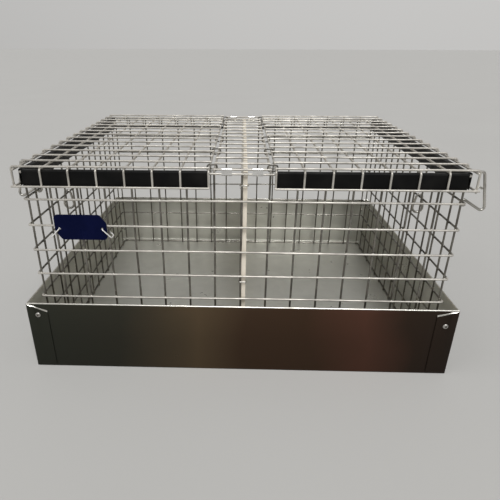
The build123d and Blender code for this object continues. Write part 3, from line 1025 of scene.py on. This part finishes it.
@dataclass
class Fittings:
    """Hinge rings, clips, divider ties and the tag's rings."""

    lay: Layout
    finishes: Finishes
    ring_wire: float = 1.6
    ring_play: float = 0.3
    ring_cells: tuple[float, ...] = (0.5, 3.5, 6.5, 10.5, 13.5)
    ring_round: float = 2.1
    clip_width: float = 9.5
    clip_sheet: float = 0.6
    clip_inner: float = 2.06
    clip_cells: float = 0.55
    clip_pinch: float = 0.4
    clip_ridges: int = 4
    clip_ridge: float = 0.25
    clip_points: tuple[int, int] = (13, 8)  # on a round end, and on a ridge
    tie_wire: float = 1.4
    tie_play: float = 0.15
    tie_room: float = 0.4
    tie_round: float = 1.5
    tie_cells: tuple[float, ...] = (0.42, 4.25)
    divider_edge: float = 5.0
    divider_sheet: float = 0.8
    weld_gap: float = 0.02
    tag_ring_wire: float = 1.2
    tag_ring_play: float = 0.6
    tag_ring_past: float = 2.0
    tag_ring_round: float = 1.6
    tag_turn: float = 45.0
    tag_hole_in: float = 4.9  # holes from the upright wires
    tag_hole_drop: float = 2.0
    tag_thick: float = 1.5
    tag_gap: float = 0.3
    tag_cells: float = -6.0

    def hinge_rings(self, side: Side) -> Surface:
        """Rings round the strip's edge wire and the lid's hinge wire, upright across the hinge.

        Args:
            side: which hinge.

        Returns:
            The rings' surface.
        """
        lay = self.lay
        reach = lay.radius + self.ring_play + self.ring_wire / 2
        low = (lay.strip_x - reach, min(lay.strip_fore, lay.lid_fore) - reach)
        high = (lay.hinge_x + reach, max(lay.strip_fore, lay.lid_fore) + reach)
        pitch = -2 * lay.front_y / lay.squares(-2 * lay.front_y)
        frames = [[(0, lay.front_y + cells * pitch, 0), (side.value, 0, 0), UP] for cells in self.ring_cells]
        return hook_rings(low, high, self.ring_round, self.ring_wire, frames)

    def clips(self) -> Surface:
        """Sheet clips crimped round two wires: a ridged band carried round a pinched loop in the YZ plane.

        Returns:
            The clips in one surface.
        """
        lay = self.lay
        radius = (self.clip_inner + self.clip_sheet) / 2
        half = (lay.strip_cross - lay.wall_top) / 2
        round_points, ridge_points = self.clip_points
        turns = np.linspace(0, math.pi, round_points)
        end = np.stack([0 * turns, radius * np.cos(turns), half + radius * np.sin(turns)], axis=1)
        waist = np.array([(0, self.clip_pinch - radius, 0)])
        loop = np.concatenate([end, waist, -end, -waist])
        x = self.clip_cells * lay.pitch
        places = crossings([-x, x], [lay.front_y, -lay.front_y], [(lay.wall_top + lay.strip_cross) / 2])
        run = np.linspace(-self.clip_width / 2, self.clip_width / 2, ridge_points * self.clip_ridges + 1)
        ridge = self.clip_ridge * np.sin(math.pi * self.clip_ridges * run / self.clip_width) ** 2
        inside = np.stack([0 * run - self.clip_sheet / 2, -run], axis=1)[[0, -1]]
        band = np.concatenate([inside, np.stack([self.clip_sheet / 2 - ridge, run], axis=1)])
        return carry(band, loop, RIGHT, places, closed=True)

    def ties(self) -> Surface:
        """Level rings that tie the divider's turned edges to the middle uprights of the end walls.

        Returns:
            The rings' surface.
        """
        lay = self.lay
        reach = lay.radius + self.tie_play + self.tie_wire / 2
        edge_y = lay.front_y + lay.layer + lay.radius + self.weld_gap
        low = (-reach, -edge_y - self.divider_sheet - self.tie_room - self.tie_wire / 2)
        high = (self.divider_edge + self.tie_play + self.tie_wire / 2, reach - lay.front_y - lay.layer)
        heights = [lay.wall_top - cells * lay.pitch for cells in self.tie_cells]
        frames = [[(0, 0, height), RIGHT, (0, end, 0)] for end in (-1, 1) for height in heights]
        return hook_rings(low, high, self.tie_round, self.tie_wire, frames)

    def tag_rings(self) -> Surface:
        """Slanting rings through the tag's holes, round the upright wires behind its ends.

        Returns:
            The rings' surface.
        """
        lay, slope = self.lay, math.radians(self.tag_turn)
        past = self.tag_ring_play + self.tag_ring_wire / 2
        out = self.tag_hole_in + lay.radius + self.tag_ring_past + self.tag_ring_wire / 2
        low = (-out / math.cos(slope), -lay.front_y - lay.layer - lay.radius - past)
        high = (0.0, lay.radius + self.tag_gap + self.tag_thick + past - lay.front_y)
        hole_z = lay.wall_top - 2 * lay.pitch - self.tag_hole_drop
        frames = []
        for sign in (-1, 1):
            hole_x = (self.tag_cells + sign) * lay.pitch - sign * self.tag_hole_in
            frames.append([(hole_x, 0, hole_z), (-sign * math.cos(slope), 0, math.sin(slope)), (0, -1, 0)])
        return hook_rings(low, high, self.tag_ring_round, self.tag_ring_wire, frames)

    def build(self, nodes: dict[str, bpy.types.Object]) -> None:
        """Makes the small fittings and dresses the divider and the tag, which keep their CAD shapes.

        Args:
            nodes: CAD objects by name.
        """
        body, finishes = Body.CAGE.value, self.finishes
        for side in Side:
            rings = self.hinge_rings(side)
            make_piece(f"{side.word}_hinge_rings", "wire", rings, [finishes.ring], body)
        make_piece("strip_clips", "sheet", self.clips(), [finishes.clip], body)
        make_piece("divider_ties", "wire", self.ties(), [finishes.latch], body)
        make_piece("tag_rings", "wire", self.tag_rings(), [finishes.tie], body)
        for name, finish in (("divider", finishes.divider), ("tag", finishes.tag)):
            nodes[name].data.materials.clear()
            nodes[name].data.materials.append(finish)
            LOG.info("%s keeps its CAD shape", name)


@dataclass
class SideWires:
    """Latch, its finger and the hanging link of one side."""

    lay: Layout
    finishes: Finishes
    side: Side
    latch_wire: float = 2.5
    latch_play: float = 0.35
    latch_cells: Pair = (1.44, 0.22)
    latch_round: float = 3.0
    latch_soft: float = 0.4
    eye_wrap: float = 260.0
    eye_points: int = 33
    tip_out: float = 21.5
    tip_down: float = 10.0
    bar_out: float = 13.0
    hook_drop: float = 5.0
    hook_out: float = 8.4
    finger_wire: float = 2.0
    finger_up: float = 13.0
    finger_rise: float = 2.5
    finger_out: float = 9.4
    finger_drop: float = 7.0
    finger_round: float = 1.8
    finger_soft: float = 0.3
    finger_off: float = 0.3  # finger's end from the bar, in wires
    link_wire: float = 2.6
    link_top: float = 3.4
    link_foot: float = 5.6
    link_middle: float = 12.0
    link_play: float = 0.3
    link_cells: float = 4.5
    link_points: tuple[int, int] = (15, 21)
    bend_steps: int = 8
    sides: int = 12
    finger_sides: int = 10

    def placed(self, route: Array, origin: Point) -> Array:
        """Route given outward and up from an origin, brought to this side of the cage."""
        return np.asarray(origin) + route * (self.side.value, 1, 1)

    @property
    def pivot(self) -> Point:
        """Middle of the wire that the latch turns on.

        Returns:
            The point in millimetres.
        """
        lay = self.lay
        y = lay.front_y + self.latch_cells[self.side is Side.RIGHT] * lay.pitch
        return self.side.value * lay.side_x, y, lay.wall_top - lay.pitch

    @property
    def hook_up(self) -> float:
        """Height of the hook above the pivot."""
        lay = self.lay
        return lay.lid_cross + lay.radius - self.hook_drop + self.latch_wire / 2 - self.pivot[2]

    def latch(self) -> Surface:
        """Round wire: an open eye, a leg to the outer tip, the outer bar and the hook over the lid.

        Returns:
            The latch's surface.
        """
        eye_radius = self.lay.radius + self.latch_play + self.latch_wire / 2
        aim = math.atan2(-self.tip_down, self.tip_out)
        leave = aim + math.acos(eye_radius / math.hypot(self.tip_out, self.tip_down))
        eye = arc(eye_radius, np.linspace(leave + math.radians(self.eye_wrap), leave, self.eye_points))
        tip, bar = (self.tip_out, 0, -self.tip_down), (self.bar_out, 0, self.hook_up)
        corners = np.array([eye[-1], tip, bar, (self.hook_out, 0, self.hook_up)])
        arm = bent_path(corners, self.latch_round, spacing=4.0, steps=self.bend_steps)
        path = self.placed(np.concatenate([eye, arm[1:]]), self.pivot)
        return carry(circle(self.latch_wire / 2, self.sides), path, BACK, soften=self.latch_soft)

    def finger(self) -> Surface:
        """Short wire from the outer bar, bent down in front of the lid's edge.

        Returns:
            The finger's surface.
        """
        share = (self.finger_up + self.tip_down) / (self.hook_up + self.tip_down)
        bar = self.tip_out + (self.bar_out - self.tip_out) * share
        top = self.finger_up + self.finger_rise
        start = (bar - self.latch_wire / 2 - self.finger_off * self.finger_wire, 0, self.finger_up)
        corners = [start, (self.finger_out, 0, top), (self.finger_out, 0, top - self.finger_drop)]
        route = bent_path(corners, self.finger_round, spacing=3.0, steps=self.bend_steps)
        profile = circle(self.finger_wire / 2, self.finger_sides)
        return carry(profile, self.placed(route, self.pivot), BACK, soften=self.finger_soft)

    def link(self) -> Surface:
        """Pear-shaped closed loop: a small arc above, a large arc below, joined by their common tangents.

        Returns:
            The link's surface.
        """
        lay = self.lay
        slope = math.asin((self.link_foot - self.link_top) / self.link_middle)
        top = arc(self.link_top, np.linspace(slope, math.pi - slope, self.link_points[0]))
        foot = arc(self.link_foot, np.linspace(math.pi - slope, 2 * math.pi + slope, self.link_points[1]))
        y = lay.front_y + lay.wall_bend + self.link_cells * lay.pitch - math.pi / 2 * lay.wall_bend
        z = lay.wall_top - 2 * lay.pitch + lay.radius + self.link_play + self.link_wire / 2 - self.link_top
        loop = np.concatenate([top, foot - (0, 0, self.link_middle)])
        path = self.placed(loop, (self.side.value * lay.side_x, y, z))
        return carry(circle(self.link_wire / 2, self.sides), path, BACK, closed=True)

    def build(self) -> None:
        """Makes the latch, its finger and the link."""
        word, zinc = self.side.word, [self.finishes.latch]
        body = f"{word}_latch"
        make_piece(body, "wire", self.latch(), zinc, body)
        make_piece(f"{word}_finger", "wire", self.finger(), zinc, body)
        body = f"{word}_link"
        make_piece(body, "wire", self.link(), [self.finishes.link], body)


@dataclass
class Tray:
    """Folded sheet tray: four hemmed walls, a slightly buckled floor, corner tabs and rivets."""

    finishes: Finishes
    sheet: float = 0.8
    fold: float = 1.2
    fold_steps: int = 6
    hem_radius: float = 1.0
    hem_leg: float = 8.0
    hem_steps: int = 8
    base_in: float = 6.0
    split: float = 30.0  # height at which fold and hem meet
    section_step: float = 8.0
    hair: float = 0.001
    slack: float = 0.1
    stations: int = 61
    buckle: float = 0.45
    wall_waves: tuple[Pair, ...] = ((3.1, 1.0), (6.3, 0.6))  # turning along half a wall, and size
    floor_grid: tuple[int, int] = (49, 41)
    floor_buckle: float = 0.12
    floor_fade: int = 8
    tab_width: float = 21.0
    tab_slope: Pair = (7.0, 4.4)
    tab_foot: float = 3.0
    tab_bevel: Pair = (0.3, 1.7)
    tab_soft: float = 0.2
    tab_start: float = 0.6
    tab_step: float = 3.0
    rivet_in: float = 11.0
    rivet_down: Pair = (13.0, 17.8)
    rivet_shank: float = 3.1
    rivet_tail: float = 2.6
    rivet_nose: Pair = (0.5, 1.1)  # length and end radius of the tail's taper
    rivet_lift: float = 0.02
    rivet_sides: int = 24
    rivet_head: tuple[Pair, ...] = (
        (0.0, 2.6), (0.2, 2.7), (0.5, 2.55), (0.8, 2.2), (1.05, 1.75), (1.15, 1.4), (1.1, 1.15), (0.3, 1.0)
    )  # heights and radii, the last step being the hollow
    half: Array = field(init=False)

    def __post_init__(self) -> None:
        """Reads the tray's outer half sizes and height from its node."""
        self.half = box_mm("tray_pan")[1] - (0, self.sheet, 0)

    def section(self) -> tuple[Array, int]:
        """Closed section of a wall: the sheet's middle line with bends, half its thickness to each side.

        Returns:
            Points (depth inward, height), first along the outer side, and how many belong to the outer wall.
        """
        half, height = self.sheet / 2, self.half[2]
        top, inner = height - half, 2 * self.hem_radius - half
        leg_end = height - self.hem_radius - self.hem_leg
        corners = [(self.base_in, 0, half), (half, 0, half), (half, 0, self.split)]
        fold = bent_path(corners, self.fold - half, self.section_step, self.fold_steps)
        corners = [(half, 0, self.split), (half, 0, top), (inner, 0, top), (inner, 0, leg_end)]
        hem = bent_path(corners, self.hem_radius - half - self.hair, self.section_step, self.hem_steps)
        line = np.concatenate([fold, hem[1:]])[:, [0, 2]]
        along = unit(np.gradient(line, axis=0))
        outward = np.stack([-along[:, 1], along[:, 0]], axis=1)
        rolled = line[:, 1] > height - self.hem_radius / 2
        outer_count = int(np.sum(np.cumsum(rolled) == 0))
        return np.concatenate([line + half * outward, (line - half * outward)[::-1]]), outer_count

    def wall(self, axis: int, sign: int, seed: int) -> Surface:
        """One wall: the section carried along its edge with mitred ends, bulged by slow waves.

        A point lies at u * (half length - depth) along the edge and at (half width - depth) from the middle,
        and the depth grows by buckle * (1 - u^2) * sin(pi * height / wall height) times slow waves.

        Args:
            axis: 0 for a wall that runs along X, 1 for one along Y.
            sign: side of the other axis.
            seed: seed of the waves.

        Returns:
            The wall's surface, its inner and outer faces and its rolled rim with their own finishes, the
            rim's bright one being a painted highlight.
        """
        section, outer_count = self.section()
        stations, count = self.stations, len(section)
        draw = np.random.default_rng(int(seed))
        share = np.linspace(-1, 1, stations)[:, None]
        depth, height = section.T
        starts = draw.uniform(0, 2 * math.pi, len(self.wall_waves))
        drawn = zip(self.wall_waves, starts)
        swell = sum(size * np.sin(rate * share + start) for (rate, size), start in drawn)
        rise = np.clip(height / (self.half[2] - 2 * self.hem_radius), 0, 1)
        panel = np.sin(math.pi * rise) * (depth < self.sheet + self.slack)
        moved = depth + self.buckle * (1 - share**2) * panel * (0.5 + 0.5 * swell)
        points = np.zeros((stations, count, 3))
        points[:, :, axis] = share * (self.half[axis] - depth)
        points[:, :, 1 - axis] = sign * (self.half[1 - axis] - moved)
        points[:, :, 2] = height
        faces, caps = grid_faces(stations, count), end_caps(stations, count)
        if (axis == 0) != (sign < 0):
            faces, caps = faces[:, ::-1], caps[:, ::-1]
        column = np.tile(np.arange(count), stations - 1)
        rim = height[column] > self.half[2] - self.hem_radius
        outer = (column < outer_count) & ~rim
        parts = [faces[~outer & ~rim], faces[outer], faces[rim], caps]
        return Surface(points.reshape(-1, 3), parts, [*TrayFace, TrayFace.INSIDE])

    def floor(self) -> Surface:
        """Floor panel: a grid whose top is buckled by two slow waves that fade at the edges, flat below.

        Returns:
            The floor's surface, its underside with the outer finish.
        """
        rows, columns = self.floor_grid
        half = self.half[:2] - self.base_in
        across, deep = np.meshgrid(np.linspace(-1, 1, rows), np.linspace(-1, 1, columns), indexing="ij")
        fade = (1 - across**self.floor_fade) * (1 - deep**self.floor_fade)
        wave = np.sin(4.2 * across + 1.3 * deep) * np.cos(3.4 * deep - 0.8)
        wave = wave + 0.5 * np.sin(7.1 * across * deep + 2.0)
        rise = self.sheet + self.floor_buckle * fade * wave
        top = np.stack([half[0] * across, half[1] * deep, rise], axis=2).reshape(-1, 3)
        upper = grid_faces(rows, columns, close_columns=False)[:, [0, 3, 2, 1]]
        count = len(top)
        number = np.arange(count).reshape(rows, columns)
        rim = np.concatenate([number[:-1, 0], number[-1, :-1], number[:0:-1, -1], number[0, :0:-1]])
        after = np.roll(rim, -1)
        sides = np.stack([rim + count, after + count, after, rim], axis=1)
        faces = [upper, upper[:, ::-1] + count, sides]
        finish = [TrayFace.INSIDE, TrayFace.OUTSIDE, TrayFace.INSIDE]
        return Surface(np.concatenate([top, top * (1, 1, 0)]), faces, finish)

    def tab(self, side: int, end: int) -> Surface:
        """Corner tab: the side wall's sheet carried round the corner, its top edge falling to the free end.

        A point is the middle line's point, shifted by half the sheet to either side, at the tab's foot or at
        its top edge, which falls along a line from the rim and has a bevel that grows towards the free end.

        Args:
            side: sign of X.
            end: sign of Y.

        Returns:
            The tab's surface, its top edge with the rim's finish as a painted highlight and the rest with the
            outer one.
        """
        half, soft = self.sheet / 2, self.tab_soft
        corner_x, face_y, free_x = self.half[0] - half, self.half[1] + half, self.half[0] - self.tab_width
        corners = [(corner_x, self.half[1] - self.tab_start, 0), (corner_x, face_y, 0), (free_x, face_y, 0)]
        line = bent_path(corners, self.fold - half, self.tab_step, self.fold_steps)
        along = unit(np.gradient(line, axis=0))
        outward = np.stack([along[:, 1], -along[:, 0], 0 * along[:, 0]], axis=1)
        share = (self.half[0] - line[:, 0]) / self.tab_width
        top = self.half[2] - self.hem_radius - self.tab_slope[side > 0] * share
        bevel = self.tab_bevel[0] + (self.tab_bevel[1] - self.tab_bevel[0]) * share
        foot = np.full(len(line), self.tab_foot)
        edges = [(half, foot + soft), (half, top - bevel), (soft - half, top), (-half, top - soft)]
        edges += [(-half, foot + soft), (soft - half, foot), (half - soft, foot)]
        rings = [line + shift * outward + z[:, None] * UP for shift, z in edges]
        points = np.stack(rings, axis=1) * (side, end, 1)
        rows, columns = len(line), len(edges)
        faces, caps = grid_faces(rows, columns), end_caps(rows, columns)
        if side * end > 0:
            faces, caps = faces[:, ::-1], caps[:, ::-1]
        upper = np.tile(np.isin(np.arange(columns), (1, 2)), rows - 1)
        finish = [TrayFace.RIM, TrayFace.OUTSIDE, TrayFace.OUTSIDE]
        return Surface(points.reshape(-1, 3), [faces[upper], faces[~upper], caps], finish)

    def rivets(self) -> Surface:
        """Set rivets: rings of points round each rivet's axis, their radius following shank, head and hollow.

        Returns:
            The rivets' surface, the hollows with finish 1, the dark ring steel as painted shade.
        """
        tail, shank, sides = -2 * self.sheet - self.rivet_tail, self.rivet_shank / 2, self.rivet_sides
        taper, nose = self.rivet_nose
        stem = [(tail, nose), (tail + taper, shank), (-self.rivet_lift, shank)]
        heights, radii = np.array([*stem, *self.rivet_head]).T
        rows = len(radii)
        ring = radii[:, None, None] * arc(1.0, np.arange(sides) * 2 * math.pi / sides)
        faces, caps = grid_faces(rows, sides), end_caps(rows, sides)
        hollow = np.repeat(np.arange(rows - 1) == rows - 2, sides)
        parts = []
        for side, end in ((-1, -1), (-1, 1), (1, -1), (1, 1)):
            seat = (side * (self.half[0] - self.rivet_in), end * (self.half[1] + self.sheet))
            place = np.array([*seat, self.half[2] - self.rivet_down[side > 0]])
            points = place + ring + heights[:, None, None] * (0, end, 0)
            turned = [part[:, ::end] for part in (faces[~hollow], faces[hollow], caps[:1], caps[1:])]
            parts.append(Surface(points.reshape(-1, 3), turned, [0, 1, 0, 1]))
        return Surface.joined(parts)

    def build(self) -> None:
        """Makes the pan and the rivets."""
        signs, body, finishes = (-1, 1), Body.TRAY.value, self.finishes
        walls = [self.wall(axis, sign, Seed.TRAY + 2 * axis + sign) for axis in (0, 1) for sign in signs]
        tabs = [self.tab(side, end) for side in signs for end in signs]
        pan = Surface.joined([*walls, self.floor(), *tabs])
        sheets = [finishes.inside, finishes.outside, finishes.rim]
        make_piece("tray_pan", "sheet", pan, sheets, body)
        # The hollows take the dark ring steel: painted shade in the recess.
        make_piece("tray_rivets", "set", self.rivets(), [finishes.rivet, finishes.ring], body)


def stand(made: bpy.types.Object, place: Point, right: Array, up: Array, forward: Array) -> None:
    """Puts a camera or lamp into the scene.

    Args:
        made: the camera or lamp.
        place: where it stands, in millimetres.
        right: its direction to the right.
        up: its direction upwards.
        forward: the direction that it looks in.
    """
    turned = np.eye(4)
    turned[:3] = np.stack([right, up, -forward, np.array(place) * MM], axis=1)
    made.matrix_world = Matrix(turned.tolist())
    bpy.context.scene.collection.objects.link(made)


@dataclass
class Studio:
    """Camera, pale floor, world and soft lamps."""

    lens: float = 34.24
    sensor: float = 36.0
    clip: Pair = (0.01, 200.0)
    place: Point = (-1.0, -601.6, 308.0)
    tilt: float = 26.39
    yaw: float = 1.83
    roll: float = 0.12
    shift: Pair = (0.0484, 0.0646)
    floor_tones: tuple[tuple[float, Colour], ...] = (
        (0.3, (0.4606, 0.4557, 0.441)),
        (0.7, (0.47, 0.465, 0.45)),
    )
    floor_rough: float = 0.8
    floor_radii: tuple[float, ...] = (0.4, 1.0, 6.0, 60.0)
    floor_sides: int = 64
    sky: tuple[Pair, ...] = ((0.0, 0.55), (0.1, 0.57), (0.4, 0.4), (1.0, 0.26))
    sky_tint: Colour = (1.0, 0.99, 0.97)
    open_side: Point = (0.4, 0.92, 0.0)
    shade: float = 0.35
    lamps: tuple[tuple[str, Point, float, float], ...] = (
        ("key_lamp", (150.0, -900.0, 1300.0), 30.0, 2.8),
        ("fill_lamp", (-1300.0, -500.0, 900.0), 50.0, 0.5),
    )

    def camera(self) -> None:
        """Camera on the photograph's viewing line: turned by yaw, tilted down, then rolled about its axis."""
        tilt, yaw, roll = (math.radians(angle) for angle in (self.tilt, self.yaw, self.roll))
        right = np.array([math.cos(yaw), math.sin(yaw), 0])
        level = np.array([-math.sin(yaw), math.cos(yaw), 0])
        forward = math.cos(tilt) * level - (0, 0, math.sin(tilt))
        up = math.sin(tilt) * level + (0, 0, math.cos(tilt))
        data = bpy.data.cameras.new("photo_camera")
        data.lens, data.sensor_width, data.sensor_fit = self.lens, self.sensor, "HORIZONTAL"
        data.shift_x, data.shift_y = self.shift
        data.clip_start, data.clip_end = self.clip
        camera = bpy.data.objects.new("photo_camera", data)
        across = math.cos(roll) * right + math.sin(roll) * up
        above = math.cos(roll) * up - math.sin(roll) * right
        stand(camera, self.place, across, above, forward)
        bpy.context.scene.camera = camera

    def floor(self) -> None:
        """Round pale floor: rings of points out to a radius that is past every view."""
        sides = self.floor_sides
        turns = np.linspace(0, 2 * math.pi, sides + 1)[:-1]
        ring = np.stack([np.cos(turns), np.sin(turns), 0 * turns], axis=1)
        points = (np.array(self.floor_radii)[:, None, None] * ring).reshape(-1, 3)
        faces = [*grid_faces(len(self.floor_radii), sides)[:, ::-1].tolist(), list(range(sides))]
        mesh = bpy.data.meshes.new("studio_floor")
        mesh.from_pydata(points.tolist(), [], faces)
        paper = Coat("floor_paper")
        tone = paper.ramp(paper.noise(3.0, detail=2.0), list(self.floor_tones))
        mesh.materials.append(paper.finish(tone, 0.0, self.floor_rough))
        floor = bpy.data.objects.new("studio_floor", mesh)
        bpy.context.scene.collection.objects.link(floor)

    def world(self) -> None:
        """Soft light from all round, brightest low down and from the open side."""
        world = bpy.data.worlds.new("studio_world")
        bpy.context.scene.world = world
        world.use_nodes = True
        bench = Bench(world.node_tree, "Generated")
        height = bench.node("ShaderNodeSeparateXYZ", Vector=bench.place).outputs["Z"]
        sky = bench.ramp(height, [(rise, tuple(level * np.array(self.sky_tint))) for rise, level in self.sky])
        turn = bench.worked("ShaderNodeVectorMath", "DOT_PRODUCT", bench.place, self.open_side)
        dim = bench.node("ShaderNodeMapRange", Value=turn.outputs["Value"], From_Min=-1.0, To_Min=self.shade)
        light = bench.worked("ShaderNodeVectorMath", "SCALE", sky, None, None, dim.outputs["Result"])
        bench.feed(world.node_tree.nodes["Background"].inputs["Color"], light.outputs["Vector"])

    def light(self) -> None:
        """Broad soft suns, so that the floor is evenly lit."""
        for name, place, spread, strength in self.lamps:
            data = bpy.data.lights.new(name, "SUN")
            data.angle, data.energy = math.radians(spread), strength
            forward = unit(-np.array(place))
            right = unit(np.cross(forward, UP))
            stand(bpy.data.objects.new(name, data), place, right, np.cross(right, forward), forward)

    def build(self) -> None:
        """Sets the stage."""
        bpy.context.scene.view_settings.view_transform = "Standard"
        self.camera()
        self.floor()
        self.world()
        self.light()


def main() -> None:
    """Loads the frame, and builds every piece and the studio."""
    logging.basicConfig(level=logging.INFO, format="%(name)s: %(message)s")
    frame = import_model()
    finishes = Finishes()
    lay = Layout()
    Studio().build()
    Tray(finishes).build()
    WireWalls(lay, finishes).build()
    for side in Side:
        Lid(lay, finishes, side=side).build()
        SideWires(lay, finishes, side).build()
    EdgeStrips(finishes).build()
    Fittings(lay, finishes).build(frame["nodes"])


if __name__ == "__main__":
    main()
